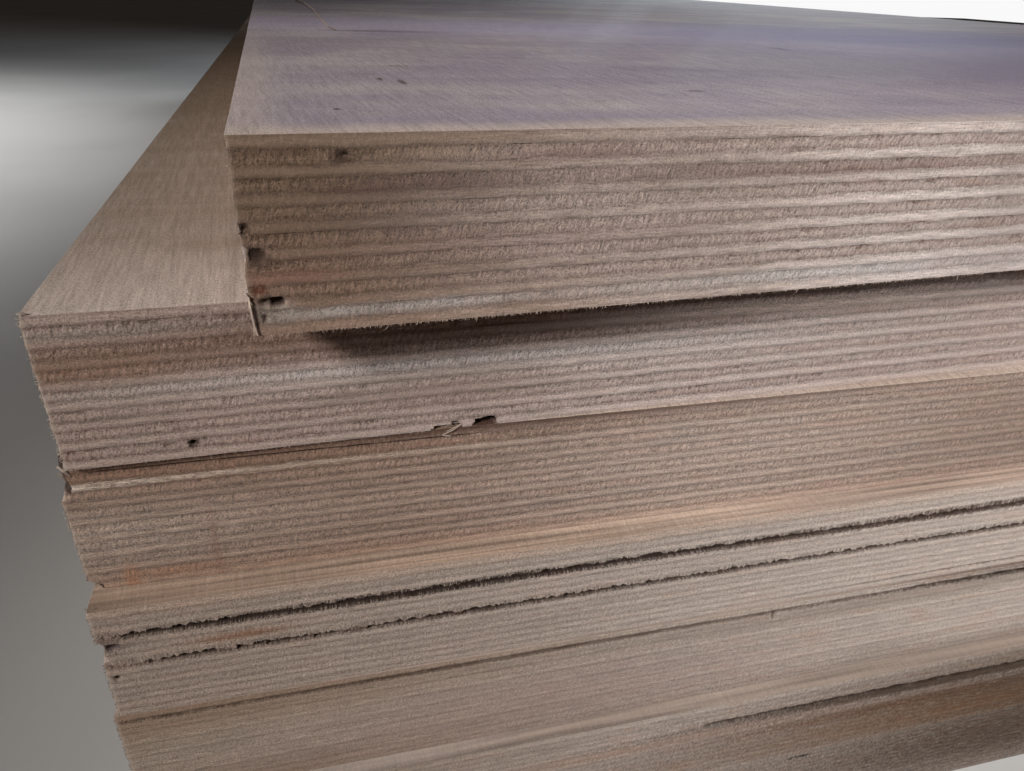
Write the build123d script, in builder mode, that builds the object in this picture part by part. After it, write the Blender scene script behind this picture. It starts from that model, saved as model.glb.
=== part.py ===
from build123d import *
import math
import os

# A stack of seven plywood door panels, in millimetres. The front is -Y, +Z is up.

# One panel: a raw door blank, fifteen veneers glued crosswise
panel_width = 800.0
panel_length = 2100.0
panel_thickness = 40.0
ply_count = 15
ply_thickness = panel_thickness / ply_count

# The saw leaves the cross-grain veneers a little behind the long-grain ones
cross_ply_setback = 0.3

# Where each panel's front left corner lies beside that of the bottom panel, and how far
# the panel is turned about it, in degrees, from the bottom of the stack to the top
placements = [
    (0.0, 0.0, -0.10),
    (-0.5, -0.2, -0.13),
    (0.0, 5.1, 0.0),
    (1.6, 5.3, 0.21),
    (1.0, 13.6, -0.06),
    (4.8, 11.3, 1.3),
    (54.0, -6.8, 2.89),
]

# The marks below are placed along the front by their share of the panel's width, counted
# from the left corner. Heights, depths and sizes are given in veneers, and heights are
# counted down from the panel's top

# Core gaps: a cross veneer that stops short of the front edge and leaves a slot as high
# as the veneer. By panel: the veneer's number from the top, then the line at which the
# veneer stops, as (share along the front, depth behind the edge)
core_gaps = {
    2: (4, [(0.228, 0), (0.25, 0.9), (0.3, 1.7), (0.375, 2.6), (0.438, 2.2), (0.488, 0)]),
    4: (4, [(0.01, 0), (0.028, 2.6), (0.075, 4.1), (0.15, 3.7), (0.206, 2.2), (0.269, 1.5),
            (0.363, 1.9), (0.431, 1.1), (0.488, 0)]),
}

# A veneer broken along the edge into a row of short openings. By panel: the veneer's
# number from the top, where the row starts and how many openings it has
broken_plies = {4: (8, 0.006, 34)}
opening_spacing = 11.0
opening_length = 6.5
opening_length_change = 2.5
opening_height = 0.7 * ply_thickness
opening_depth = 3.5

# Glue lines that have opened along the front edge. By panel: the glue line's number from
# the top, its start and end along the front, the height of the crack and its depth
open_glue_lines = {
    3: [(1, 0.0025, 0.335, 0.22, 1.9), (1, 0.332, 0.45, 0.5, 2.2)],
    4: [(14, 0.338, 0.431, 0.3, 1.5)],
    5: [(1, 0.011, 0.25, 0.2, 1.5)],
}

# Knot holes and nicks in the front edge. By panel: share along the front, distance
# below the panel's top, width, height and depth of each
edge_pits = {
    1: [(0.294, 1.2, 1.6, 0.45, 0.75)],
    2: [(0.418, 11.5, 1.0, 0.65, 0.75)],
    3: [(0.262, 1.45, 0.35, 1.1, 0.4)],
    4: [(0.0033, 9.4, 0.75, 0.65, 0.75)],
    6: [(0.037, 13.5, 0.65, 0.6, 1.1)],
    7: [
        (0.0015, 6.5, 0.5, 0.65, 1.1),
        (0.0033, 8.6, 1.6, 1.0, 1.9),
        (0.007, 12.3, 1.3, 0.85, 1.5),
        (0.0036, 13.65, 0.5, 0.45, 0.75),
        (0.0265, 1.5, 0.7, 0.5, 0.75),
        (0.22, 13.5, 0.6, 0.4, 0.4),
    ],
}

# Chips broken from the front edge or its corner. By panel: share along the front, the
# chip's outline from there on the front face, as (along, down), and its depth
chips = {
    4: [(0, [(-0.4, 4.0), (0.6, 4.2), (0.8, 5.8), (0.2, 7.2), (-0.4, 7.3)], 1.9)],
    5: [
        (0, [(-0.4, -0.4), (1.2, -0.4), (1.0, 1.9), (0.45, 3.6), (-0.4, 5.4)], 2.2),
        (0, [(-0.4, 13.3), (0.2, 13.8), (1.4, 15.4), (-0.4, 15.4)], 1.5),
    ],
    6: [(0.109, [(0, 15.4), (0.9, 14.5), (3.6, 14.0), (6.9, 13.9), (7.1, 15.4)], 1.3)],
}


def turned(width, length, yaw):
    """Corners of a panel turned about its front left corner."""
    c, s = math.cos(math.radians(yaw)), math.sin(math.radians(yaw))
    return [(x * c - y * s, x * s + y * c) for x in (0, width) for y in (0, length)]


# The origin is on the floor under the middle of the whole stack
corners = [
    (x + cx, y + cy)
    for x, y, yaw in placements
    for cx, cy in turned(panel_width, panel_length, yaw)
]
middle_x = (min(x for x, y in corners) + max(x for x, y in corners)) / 2
middle_y = (min(y for x, y in corners) + max(y for x, y in corners)) / 2


def make_panel(number, x, y, yaw):
    """One door panel, numbered from 1 at the bottom of the stack."""
    direction = math.radians(yaw)
    base = Plane(
        origin=(x - middle_x, y - middle_y, (number - 1) * panel_thickness),
        x_dir=(math.cos(direction), math.sin(direction), 0),
        z_dir=(0, 0, 1),
    )
    # On the front face, x runs along the edge and y is measured up from the panel's top
    top = base.offset(panel_thickness)
    front = Plane(origin=top.origin, x_dir=base.x_dir, z_dir=-base.y_dir)

    with BuildPart() as panel:
        # The veneers, alternately flush with the saw cut and set back from it
        for ply in range(ply_count):
            inset = cross_ply_setback if ply % 2 else 0.0
            with BuildSketch(base.offset(ply * ply_thickness)):
                with Locations((inset, inset)):
                    Rectangle(
                        panel_width - 2 * inset,
                        panel_length - 2 * inset,
                        align=(Align.MIN, Align.MIN),
                    )
            extrude(amount=ply_thickness)

        # A short core veneer
        if number in core_gaps:
            ply_number, stop_line = core_gaps[number]
            stop_line = [(share * panel_width, back * ply_thickness) for share, back in stop_line]
            left_end, right_end = stop_line[0], stop_line[-1]
            with BuildSketch(top.offset(-ply_number * ply_thickness)):
                with BuildLine():
                    Spline(stop_line)
                    Polyline(
                        right_end,
                        (right_end[0], -ply_thickness),
                        (left_end[0], -ply_thickness),
                        left_end,
                    )
                make_face()
            extrude(amount=ply_thickness, mode=Mode.SUBTRACT)

        # A broken veneer, open in a row of uneven pockets
        if number in broken_plies:
            ply_number, start, count = broken_plies[number]
            down = (ply_number - 0.5) * ply_thickness
            for k in range(count):
                along = start * panel_width + k * opening_spacing
                length = opening_length + opening_length_change * math.sin(2.4 * k)
                with BuildSketch(front):
                    with Locations((along, -down)):
                        Rectangle(length, opening_height, align=(Align.MIN, Align.CENTER))
                extrude(amount=-opening_depth, mode=Mode.SUBTRACT)

        # Opened glue lines
        for line_number, start, end, height, depth in open_glue_lines.get(number, []):
            middle = (start + end) / 2 * panel_width
            with BuildSketch(front):
                with Locations((middle, -line_number * ply_thickness)):
                    SlotOverall((end - start) * panel_width, height * ply_thickness)
            extrude(amount=-depth * ply_thickness, mode=Mode.SUBTRACT)

        # Knot holes and nicks
        for share, down, width, height, depth in edge_pits.get(number, []):
            with BuildSketch(front):
                with Locations((share * panel_width, -down * ply_thickness)):
                    Ellipse(width * ply_thickness / 2, height * ply_thickness / 2)
            extrude(amount=-depth * ply_thickness, mode=Mode.SUBTRACT)

        # Chips
        for share, outline, depth in chips.get(number, []):
            points = [
                (share * panel_width + along * ply_thickness, -down * ply_thickness)
                for along, down in outline
            ]
            with BuildSketch(front):
                with BuildLine():
                    Polyline(points, close=True)
                make_face()
            extrude(amount=-depth * ply_thickness, mode=Mode.SUBTRACT)
    return panel


os.makedirs("parts", exist_ok=True)
for number, (x, y, yaw) in enumerate(placements, start=1):
    panel = make_panel(number, x, y, yaw)
    panel.part.label = f"panel_{number}"
    export_step(panel.part, f"parts/panel_{number}.step")
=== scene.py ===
import math

import bpy
import numpy as np
from mathutils import Matrix, Vector


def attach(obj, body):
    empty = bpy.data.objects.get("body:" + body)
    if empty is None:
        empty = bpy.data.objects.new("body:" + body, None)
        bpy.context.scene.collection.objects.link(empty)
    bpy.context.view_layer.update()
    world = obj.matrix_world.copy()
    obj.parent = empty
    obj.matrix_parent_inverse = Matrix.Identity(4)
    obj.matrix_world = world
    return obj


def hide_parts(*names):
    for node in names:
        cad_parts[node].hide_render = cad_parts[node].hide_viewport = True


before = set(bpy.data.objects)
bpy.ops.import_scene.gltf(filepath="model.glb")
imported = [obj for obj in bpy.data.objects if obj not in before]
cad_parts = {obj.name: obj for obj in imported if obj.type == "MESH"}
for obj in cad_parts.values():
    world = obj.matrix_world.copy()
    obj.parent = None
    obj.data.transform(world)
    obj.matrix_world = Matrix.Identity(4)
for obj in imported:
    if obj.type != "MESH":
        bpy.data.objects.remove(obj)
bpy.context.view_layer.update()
SCENE = bpy.context.scene

# A stack of seven plywood panels. Places on a panel are in millimetres: along an edge, at the
# front from the left corner, and down from the panel's top

MM = 0.001
PLIES = 15
PANELS = [f"panel_{n}" for n in range(1, 8)]
# the four upper panels lie nearest to the camera and get the finer mesh
FINE_PANELS = PANELS[3:]
# the sides of a panel in their order around it, and the way each one runs
FRONT, RIGHT, BACK, LEFT = range(4)
DIRECTIONS = [(1, 0), (0, 1), (-1, 0), (0, -1)]
# the material slots of a panel's mesh
FACE_SLOT, END_SLOT, LONG_SLOT, FIBRE_SLOT = range(4)
# how far down a veneer the mesh is cut for a gap's lip, as a share of the veneer
LIP_CUT = 0.16
# how far the worn rim of a face lies inside the edge, in mm
ARRIS = 0.12
# edges of the mesh that turn by more than this, in degrees, stay sharp
SHARP_ANGLE = 38
# keeps a division from meeting a zero
TINY = 1e-9


# Noise on a hashed lattice

HASH_X, HASH_Y, HASH_SEED, HASH_MIX = 374761393, 668265263, 2147483647, 1274126177
HASH_MASK, VALUE_MASK = 0xFFFFFFFF, 0xFFFFFF


def lattice(ix, iy, seed):
    """A repeatable value from 0 to 1 for each whole-number pair."""
    n = (ix.astype(np.int64) * HASH_X + iy.astype(np.int64) * HASH_Y + seed * HASH_SEED) & HASH_MASK
    n = ((n ^ (n >> 13)) * HASH_MIX) & HASH_MASK
    return ((n ^ (n >> 16)) & VALUE_MASK) / VALUE_MASK


def noise(x, y, seed):
    """Smooth noise from -1 to 1."""
    x, y = np.broadcast_arrays(np.asarray(x, float), np.asarray(y, float))
    x0, y0 = np.floor(x), np.floor(y)
    fx, fy = x - x0, y - y0
    fx, fy = fx * fx * (3 - 2 * fx), fy * fy * (3 - 2 * fy)
    a = lattice(x0, y0, seed) * (1 - fx) + lattice(x0 + 1, y0, seed) * fx
    b = lattice(x0, y0 + 1, seed) * (1 - fx) + lattice(x0 + 1, y0 + 1, seed) * fx
    return (a * (1 - fy) + b * fy) * 2 - 1


def ramp(v, low, high):
    """0 at low, 1 at high and smooth between them, also where high is the smaller one."""
    t = np.clip((v - low) / (high - low), 0, 1)
    return t * t * (3 - 2 * t)


# Each panel's own frame, read from its solid

# how level an underside's points are, in metres, and how much their place back counts beside
# their place across when its corners are looked for
LEVEL = 1e-5
CORNER_SLANT = 0.4


def panel_frame(node):
    """A panel's front left corner and its turn in the scene, and its sizes in mm."""
    co = np.array([v.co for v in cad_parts[node].data.vertices], float)
    zs = co[:, 2]
    flush = co[np.abs(zs - zs.min()) < LEVEL]
    ends = {}
    for name, sx, sy in (("br", 1, 1), ("bl", -1, 1), ("fr", 1, -1)):
        ends[name] = flush[np.argmax(flush[:, 0] * sx + flush[:, 1] * sy * CORNER_SLANT)]
    # the front left corner itself may be chipped, so it is worked out from the other three
    corner = ends["bl"] + ends["fr"] - ends["br"]
    across = ends["br"] - ends["bl"]
    return {
        "corner": corner,
        "yaw": math.atan2(across[1], across[0]),
        "width": float(np.linalg.norm(across)) / MM,
        "length": float(np.linalg.norm(ends["br"] - ends["fr"])) / MM,
        "thick": float(zs.max() - zs.min()) / MM,
    }


frames = {node: panel_frame(node) for node in PANELS}
PLY = frames["panel_1"]["thick"] / PLIES


# Marks of the front edges

# Core veneers that stop short of the edge: the veneer's number from the top, the share of it
# that its ragged upper lip hangs down and how much that changes, how much more it hangs where
# the gap gets shallow, whether it is broken into short openings, and the line where it stops,
# as (along, depth)
GAPS = {
    "panel_2": [
        {
            "ply": 4, "lip": 0.3, "change": 0.16,
            "line": [(186, 0), (200, 2.5), (240, 4.5), (300, 7), (350, 6), (390, 0)],
        },
    ],
    "panel_4": [
        {
            "ply": 4, "lip": 0.24, "change": 0.26, "closing": 0.22,
            "line": [
                (6, 0), (9, 3), (22, 7), (60, 11), (120, 9), (165, 4.5), (215, 2.6), (345, 1.6), (395, 0)
            ],
        },
        {
            "ply": 8, "lip": 0.45, "change": 0.28, "broken": True,
            "line": [(2, 0), (5, 1.6), (60, 2.4), (150, 3.6), (250, 2.8), (370, 2.2), (400, 0)],
        },
    ],
}
# Opened glue lines: the line's number from the top, its start, its end and its depth
CRACKS = {
    "panel_3": [(1, 2, 268, 3), (1, 262, 360, 6)],
    "panel_4": [(14, 268, 345, 3.5)],
    "panel_5": [(1, 7, 110, 2.4)],
}
# Knot holes and nicks: along, down, half their width and height, and their depth
PITS = {
    "panel_1": [(235, 3.2, 2.4, 0.7, 1.6)],
    "panel_2": [(334.4, 30.6, 1.4, 0.9, 1.6)],
    "panel_3": [(209.9, 3.9, 0.5, 1.7, 1)],
    "panel_4": [(2.6, 25, 1, 0.9, 1.6), (3.7, 13.3, 1.6, 1.1, 1.2)],
    "panel_6": [(29.4, 36, 0.9, 0.85, 2.2), (34.5, 35.6, 0.35, 0.8, 0.7)],
    "panel_7": [
        (1.2, 17.4, 1.1, 1.2, 0.9), (2.6, 22.9, 2.4, 1.6, 1.1), (5.6, 32.9, 1.8, 1.1, 1.9),
        (3.3, 32.8, 1.5, 0.9, 1), (2.9, 36.4, 0.9, 0.8, 0.9), (21.2, 3.9, 1.3, 0.8, 0.9),
        (169, 7.8, 0.9, 0.6, 0.7), (176, 36, 0.9, 0.6, 0.7),
    ],
}
# Chips in the lower edge: the rim above each as (along, down), its depth, how much deeper it
# gets to the right, and where
CHIPS = {
    "panel_6": {
        "rim": [
            (86.5, 41), (90, 39.2), (95.5, 38.2), (97, 40.6), (99.6, 40.6), (100.6, 38),
            (104.5, 37.2), (105.8, 38.2), (106.4, 41),
        ],
        "depth": 2.2, "deeper": 1.3, "between": (96, 101),
    },
}
# Chips of the front left corner: down from and to, reach along the front and along the side
CORNERS = {
    "panel_4": [(10.8, 19.2, 2, 5)],
    "panel_5": [(-4, 10.5, 3, 6), (36.6, 46, 3.6, 4)],
    "panel_6": [(-1.5, 1.8, 0.8, 2)],
    "panel_7": [(20.6, 25, 1.6, 3)],
}
# Splinters that stand off the edge: their points as (along, back, up from the underside), half
# their thickness and the share of it that is left at the tip
SPLINTERS = {
    "panel_7": [
        ([(0.25, -0.2, 8.9), (0.3, -0.35, 6.5), (0.5, -0.4, 3), (0.95, -0.3, 0.4)], 0.36, 0.6),
        ([(-0.1, 0.1, 9.6), (0.35, -0.4, 8.2), (0.75, -0.5, 7.2)], 0.3, 0.4),
    ],
    "panel_6": [
        ([(2.6, 1.2, 39.7), (1.9, 0.4, 40.4), (1, 0, 41.1)], 0.36, 0.5),
        ([(1.6, 0.9, 39.4), (1, 0.3, 40.3), (0.2, 0.3, 40.7)], 0.36, 0.5),
        ([(1.3, 0.2, 37.6), (0.9, 0, 39.2), (1, 0.2, 40.5)], 0.5, 0.5),
        ([(96.8, 0.4, 0.9), (94, -0.5, -0.1), (90.8, -0.9, -1.2)], 0.26, 0.3),
        ([(97.2, 0.6, 1.4), (94.6, -0.3, 0.5), (92, -0.6, -0.4)], 0.2, 0.3),
        ([(90.9, -0.8, -1.2), (92.4, -0.9, -1.7), (93.4, -0.8, -1.9)], 0.2, 0.4),
    ],
    "panel_5": [
        ([(3.8, 0.1, 37), (2.9, -0.3, 38.7), (1.8, -0.4, 40.5)], 0.42, 0.7),
        ([(2.6, 1.6, 34.2), (1.9, 0.9, 36.2), (1.2, 0.6, 38)], 0.4, 0.5),
        ([(3.2, 1, 33.4), (2.5, 0.4, 35.6), (2.2, 0.1, 37.2)], 0.4, 0.5),
    ],
    "panel_4": [([(2.8, 1.5, 39.8), (1.4, 0.5, 40.7), (0.4, 0, 41.6)], 0.4, 0.4)],
}
# Fibres that hang from the lower edge: (from, to, how many), and the range of their lengths
# and of half their thickness
FRINGES = {
    "panel_7": ([(3, 240, 520), (240, 420, 300)], (0.15, 0.55), (0.05, 0.11)),
    "panel_6": ([(1, 400, 300)], (0.2, 0.6), (0.04, 0.09)),
}
# Longer fibres under panel_7: from, to and how many. Slivers in the chip of panel_6, and strands
# of the torn veneer of panel_5: how many, and their places along and down
LONG_FIBRES = (3, 400, 8)
CHIP_SLIVERS = (14, (88, 95), (38.4, 40.0))
LOOSE_VENEER = (200, (3, 78), (5.7, 7.3))
# The thread on the top face, as (along, back)
THREAD = [(38, 760), (39.4, 655), (42, 596), (43.6, 484), (41.2, 357), (40.6, 300), (42, 272)]
THREAD_RADIUS, THREAD_HEIGHT, THREAD_WAVE = 1.0, 0.35, 0.3


def saw_cut(across, rough, cuts):
    """How far the veneers lie behind the saw's plane, the crosswise ones deeper than the others."""
    (deep, deep_change), (flush, flush_change) = cuts
    return across * (deep + deep_change * rough) + (1 - across) * (flush + flush_change * rough)


def veneer_number(p):
    """A veneer's number from 0 at the top, for a height in veneers."""
    return np.clip(np.floor(p), 0, PLIES - 1)


def gap_depth(gap, x, seed):
    """How far the end of a short veneer lies behind the edge."""
    xs, depths = zip(*gap["line"])
    depth = np.interp(x, xs, depths) * (1 + 0.2 * noise(x / 2.3, 0, seed + 3))
    if gap.get("broken"):
        # the short openings run together towards the right
        apart = noise(x / 4.6, 0, seed + 21) + 0.5 * noise(x / 1.7, 0, seed + 22)
        depth = depth * ramp(apart + 0.8 * ramp(x, 40, 170), -0.25, 0.25)
    return depth


def crack_depth(crack, x, p, seed):
    """How deep an opened glue line is; p is the height counted in veneers."""
    line, start, end, depth = crack
    near = np.clip(1 - np.abs(p - line) / 0.17, 0, 1)
    open_here = 0.45 + 0.55 * ramp(noise(x / 3.1, 0, seed + 7), -0.5, 0.1)
    reach = ramp(x, start, start + 4) * ramp(x, end, end - 10)
    return near * depth * open_here * reach


def pit_depth(pit, x, h, rough):
    """A hole with an uneven rim and a steep wall."""
    along, down, half_width, half_height, depth = pit
    dx = (x + 0.25 * rough - along) / half_width
    dh = (h + 0.2 * rough - down) / half_height
    return depth * ramp(np.hypot(dx, dh), 1.3, 0.4)


def chip_depth(chip, x, h, rough):
    """How far the wood is gone below a chip's rim."""
    xs, rim = zip(*chip["rim"])
    gone = ramp(h - np.interp(x, xs, rim) + 0.35 * rough, 0.0, 0.35)
    return gone * (chip["depth"] + chip["deeper"] * ramp(x, *chip["between"])) * (1 + 0.3 * rough)


def front_inset(node, x, p, h, seed):
    """How far each point of the front edge lies behind the saw's plane."""
    k = veneer_number(p)
    across = k % 2
    rough = noise(x / 1.1, h / 0.7, seed) * 0.5 + noise(x / 3.7, h / 1.1, seed + 1) * 0.5
    torn = ramp(noise(x / 7.0, k * 5.3, seed + 2), 0.25, 0.8)
    inset = saw_cut(across, rough, ((0.09, 0.08), (0.05, 0.04)))
    inset = inset + across * 0.22 * torn * (0.6 + 0.4 * rough)
    for gap in GAPS.get(node, []):
        depth = gap_depth(gap, x, seed)
        open_here = (p > gap["ply"] - 1 + 0.1) & (p < gap["ply"]) & (depth > 0.4)
        inset = np.where(open_here, np.maximum(inset, depth), inset)
    depths = [crack_depth(crack, x, p, seed) for crack in CRACKS.get(node, [])]
    depths += [pit_depth(pit, x, h, rough) for pit in PITS.get(node, [])]
    if node in CHIPS:
        depths.append(chip_depth(CHIPS[node], x, h, rough))
    return np.maximum.reduce([inset, *depths])


def side_inset(x, p, h, seed):
    """The same for the other three sides, which have no special marks."""
    rough = noise(x / 9.0, h / 0.7, seed) * 0.6 + noise(x / 31.0, h / 1.1, seed + 1) * 0.4
    return saw_cut(veneer_number(p) % 2, rough, ((0.26, 0.12), (0.07, 0.06)))


def lip_height(node, x, seed):
    """Where the ragged upper lip of each gap hangs, as a share of its veneer."""
    lips = {}
    for gap in GAPS.get(node, []):
        xs, depths = zip(*gap["line"])
        level = 0 * x + gap["ply"]
        ragged = 0.3 * noise(x / 4.3, level, seed + 4) + 0.85 * noise(x / 0.85, level, seed + 6)
        closing = gap.get("closing", 0) * ramp(np.interp(x, xs, depths), 5.0, 1.5)
        lip = np.clip(gap["lip"] + closing + gap["change"] * ragged, 0.02, 0.93)
        lips[gap["ply"] - 1] = np.where((x > xs[0]) & (x < xs[-1]), lip, LIP_CUT)
    return lips


def corner_reach(node, h, seed):
    """How far the corner is worn or chipped, along the front and along the side."""
    reach = np.zeros((2, *h.shape))
    for top, bottom, *gone in CORNERS.get(node, []):
        middle, half = (top + bottom) / 2, (bottom - top) / 2
        near = ramp(np.abs(h - middle), half * 1.08, half * 0.55)
        near = near * (1 + 0.25 * noise(h / 0.8, 0, seed))
        reach = np.maximum(reach, np.multiply.outer(gone, near))
    worn = 0.3 + 0.2 * noise(h / 1.3, 3, seed) + 0.14 * noise(h / 0.5, 5, seed)
    return np.maximum(reach, worn)


# Loose fibres

class Fibres:
    """Gathers the thin tapering fibres of one panel, each along a line of points in mm."""

    def __init__(self, front, thick, seed):
        self.rng = np.random.default_rng(seed)
        self.s, self.rim = front["s"], front["Y"][:, -2]
        self.thick = thick
        self.count = 0
        self.co, self.quads, self.uv = [], [], []

    def add(self, points, radius, tip=0.2):
        """A three-sided fibre; tip is the share of its radius that is left at its end."""
        points = np.asarray(points, float)
        n = len(points)
        ahead = np.gradient(points, axis=0)
        ahead /= np.linalg.norm(ahead, axis=1)[:, None] + TINY
        side = np.cross(ahead, (0.31, 0.17, 0.93))
        side /= np.linalg.norm(side, axis=1)[:, None] + TINY
        third = np.cross(ahead, side)
        radii = radius * np.interp(np.linspace(0, 1, n), (0, 0.15, 1), (0.75, 1, tip))[:, None]
        for k in range(3):
            turn = 2 * math.pi * k / 3
            self.co.append(points + radii * (math.cos(turn) * side + math.sin(turn) * third))
            here, there = self.count + k * n, self.count + (k + 1) % 3 * n
            for i in range(n - 1):
                self.quads.append([here + i, there + i, there + i + 1, here + i + 1])
                self.uv += [(points[0][0] * MM, i / n)] * 4
        self.count += 3 * n

    def surface(self, x):
        """How far back the lower rim of the edge lies."""
        return float(np.interp(x, self.s, self.rim))

    def hang(self, x, y, h, length, radius, lean=0.35):
        """A fibre that hangs down and a little out of the edge."""
        dx, dy = self.rng.normal(0, lean) * length, -abs(self.rng.normal(0, 0.25)) * length
        z = self.thick - h
        middle = (x + dx * 0.3, y + dy * 0.6, z - length * 0.4)
        self.add([(x, y, z + 0.25), middle, (x + dx, y + dy, z - length)], radius)

    def fringe(self, stretches, lengths, radii):
        """Short fibres along the lower edge."""
        for x in np.concatenate([self.rng.uniform(*stretch) for stretch in stretches]):
            length, radius = self.rng.uniform(*lengths), self.rng.uniform(*radii)
            self.hang(x, self.surface(x) + 0.05, self.thick, length, radius)

    def long_fibres(self):
        """A few longer ones that hang from the top panel."""
        for x in self.rng.uniform(*LONG_FIBRES):
            self.hang(x, self.surface(x), self.thick, self.rng.uniform(0.9, 1.5), 0.1, 0.9)

    def chip_slivers(self):
        """Slivers across the chip in a lower edge."""
        count, along, down = CHIP_SLIVERS
        for _ in range(count):
            x, z = self.rng.uniform(*along), self.thick - self.rng.uniform(*down)
            reach = self.rng.uniform(1.0, 3.0)
            points = [
                (x, 1.6, z),
                (x + reach * 0.5, 0.5, z + self.rng.normal(0, 0.3)),
                (x + reach, self.rng.uniform(-0.6, 0.6), z + self.rng.normal(0.3, 0.5)),
            ]
            self.add(points, self.rng.uniform(0.06, 0.14))

    def loose_veneer(self):
        """Strands along the torn third veneer of panel_5, most of them near the corner."""
        count, (start, end), down = LOOSE_VENEER
        for _ in range(count):
            x = start + (end - start) * self.rng.random() ** 2
            z = self.thick - self.rng.uniform(*down)
            reach = self.rng.uniform(1.5, 6.0)
            rise = self.rng.normal(0, 0.25)
            points = [
                (x, self.surface(x) + 0.2, z),
                (x + reach * 0.5, self.surface(x) - 0.25, z + rise),
                (x + reach, self.surface(x) + 0.1, z + rise * 1.5),
            ]
            self.add(points, self.rng.uniform(0.05, 0.13))

    def gap_fibres(self, gap, lip):
        """Fibres that hang from the upper lip of a gap, and end inside it."""
        start, end = gap["line"][0][0], gap["line"][-1][0]
        for x in self.rng.uniform(start + 1, end - 4, int((end - start) * 2.0)):
            share = float(np.interp(x, self.s, lip))
            room = (0.95 - share) * PLY
            length = min(self.rng.uniform(0.15, 0.7), room + 0.1)
            down = (gap["ply"] - 1 + share) * PLY - 0.1
            self.hang(x, 0.2, down, length, self.rng.uniform(0.03, 0.07), 0.3)

    def corner_fibres(self, node, count, seed):
        """Fibres that stand off the left corner where it isn't chipped."""
        for _ in range(count):
            z = self.rng.uniform(0.5, self.thick - 0.5)
            along = corner_reach(node, np.array([self.thick - z]), seed)[0]
            if along[0] > 0.8:
                continue
            lean = self.rng.normal(0, 0.3)
            reach = self.rng.uniform(0.15, 0.5)
            points = [(0.5, 0.3, z), (0.1, 0.05, z + lean * 0.3), (0.12 - reach, -0.02, z + lean)]
            self.add(points, self.rng.uniform(0.1, 0.2), 0.5)


def fibres_of(node, front, thick, seed):
    """All loose fibres and splinters of one panel."""
    made = Fibres(front, thick, seed)
    for points, radius, tip in SPLINTERS.get(node, []):
        made.add(points, radius, tip)
    if node in FRINGES:
        made.fringe(*FRINGES[node])
    if node == "panel_7":
        made.long_fibres()
        high = thick + THREAD_HEIGHT
        thread = [(x, y, high + THREAD_WAVE * math.sin(i)) for i, (x, y) in enumerate(THREAD)]
        made.add(thread, THREAD_RADIUS, 0.5)
    if node in CHIPS:
        made.chip_slivers()
    if node == "panel_5":
        made.loose_veneer()
    lips = lip_height(node, front["s"], seed)
    for gap in GAPS.get(node, []):
        made.gap_fibres(gap, lips[gap["ply"] - 1])
    made.corner_fibres(node, 10 if node == "panel_7" else 60, seed + 14)
    return made


# The skin of a panel: a ring of edge quads around it, and a face on top and underneath

def steps(*stops):
    """Coordinates from 0, with a spacing up to each stop."""
    out = [0.0]
    for end, gap in stops:
        n = max(1, round((end - out[-1]) / gap))
        out += list(np.linspace(out[-1], end, n + 1)[1:])
    return np.array(out)


def cut_lines(node):
    """Where the mesh is cut along each side, and where down the edge, counted in veneers."""
    width, length = frames[node]["width"], frames[node]["length"]
    if node in FINE_PANELS:
        front = steps((9, 0.35), (60, 0.6), (240, 0.8), (420, 1.2), (width, 8))
        cuts = (0.02, LIP_CUT, 0.5, 0.84, 0.98)
    else:
        front = steps((60, 1.2), (400, 2.0), (width, 10))
        cuts = (0.02, LIP_CUT, 0.84, 0.98)
    side = steps((24, 1.5), (100, 5), (length - 24, 18), (length, 4))
    back = steps((width, 9))
    down = np.array([0] + [k + cut for k in range(PLIES) for cut in cuts] + [PLIES])
    return [front, side, back, side], down


def wave(s, k, number, seed):
    """How far the glue line above a veneer waves up or down; the faces stay flat."""
    long_wave = 0.11 * noise(s / 23.0, k * 3.7 + number, seed + 11)
    short_wave = 0.05 * noise(s / 4.1, k * 1.9, seed + 12)
    return np.where((k > 0) & (k < PLIES), long_wave + short_wave, 0)


def drop_lips(f, k, lips):
    """Moves the cuts through a gap's veneer down to its ragged lip."""
    for ply, lip in lips.items():
        lip = lip[:, None] + 0 * f
        inside = lip + (0.975 - lip) * (f - LIP_CUT) / 0.8
        moved = np.where(f < 0.1, lip - 0.03, np.where(f < 0.9, inside, f))
        f = np.where(k == ply, moved, f)
    return f


def side_grid(node, number, s, p, seed):
    """One side as a grid: its points' places along and down, and how far in each one lies."""
    span = frames[node]["length" if number in (RIGHT, LEFT) else "width"]
    S, P = np.meshgrid(s, p, indexing="ij")
    k = veneer_number(P)
    f = P - k
    if number == FRONT:
        f = drop_lips(f, k, lip_height(node, s, seed))
    # the waves die out towards the corners, where two sides meet
    calm = ramp(np.minimum(S, span - S), 0, 14)
    waves = wave(S, k, number, seed) * (1 - f) + wave(S, k + 1, number, seed) * f
    H = (k + f) * PLY + calm * waves
    if number == FRONT:
        D = front_inset(node, S, P, H, seed)
    else:
        D = side_inset(S, P, H, seed + 20 * number)
    arris = np.zeros(len(p))
    arris[[0, -1]] = ARRIS
    D = D + arris[None, :] * (1 + 0.5 * noise(S / 2.6, P, seed + 13))
    return {"s": s, "S": S, "H": H, "D": D}


def place_sides(node, grids):
    """Works out where each grid's points lie on the panel."""
    width, length = frames[node]["width"], frames[node]["length"]
    starts = [(0, 0), (width, 0), (width, length), (0, length)]
    for g, (x, y), (dx, dy) in zip(grids, starts, DIRECTIONS):
        g["X"] = x + dx * g["S"] - dy * g["D"]
        g["Y"] = y + dy * g["S"] + dx * g["D"]
    # a side starts as far in as the side before it ends
    for number, g in enumerate(grids):
        dx, dy = DIRECTIONS[number - 1]
        g["X"][0] -= dy * grids[number - 1]["D"][-1]
        g["Y"][0] += dx * grids[number - 1]["D"][-1]


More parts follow.
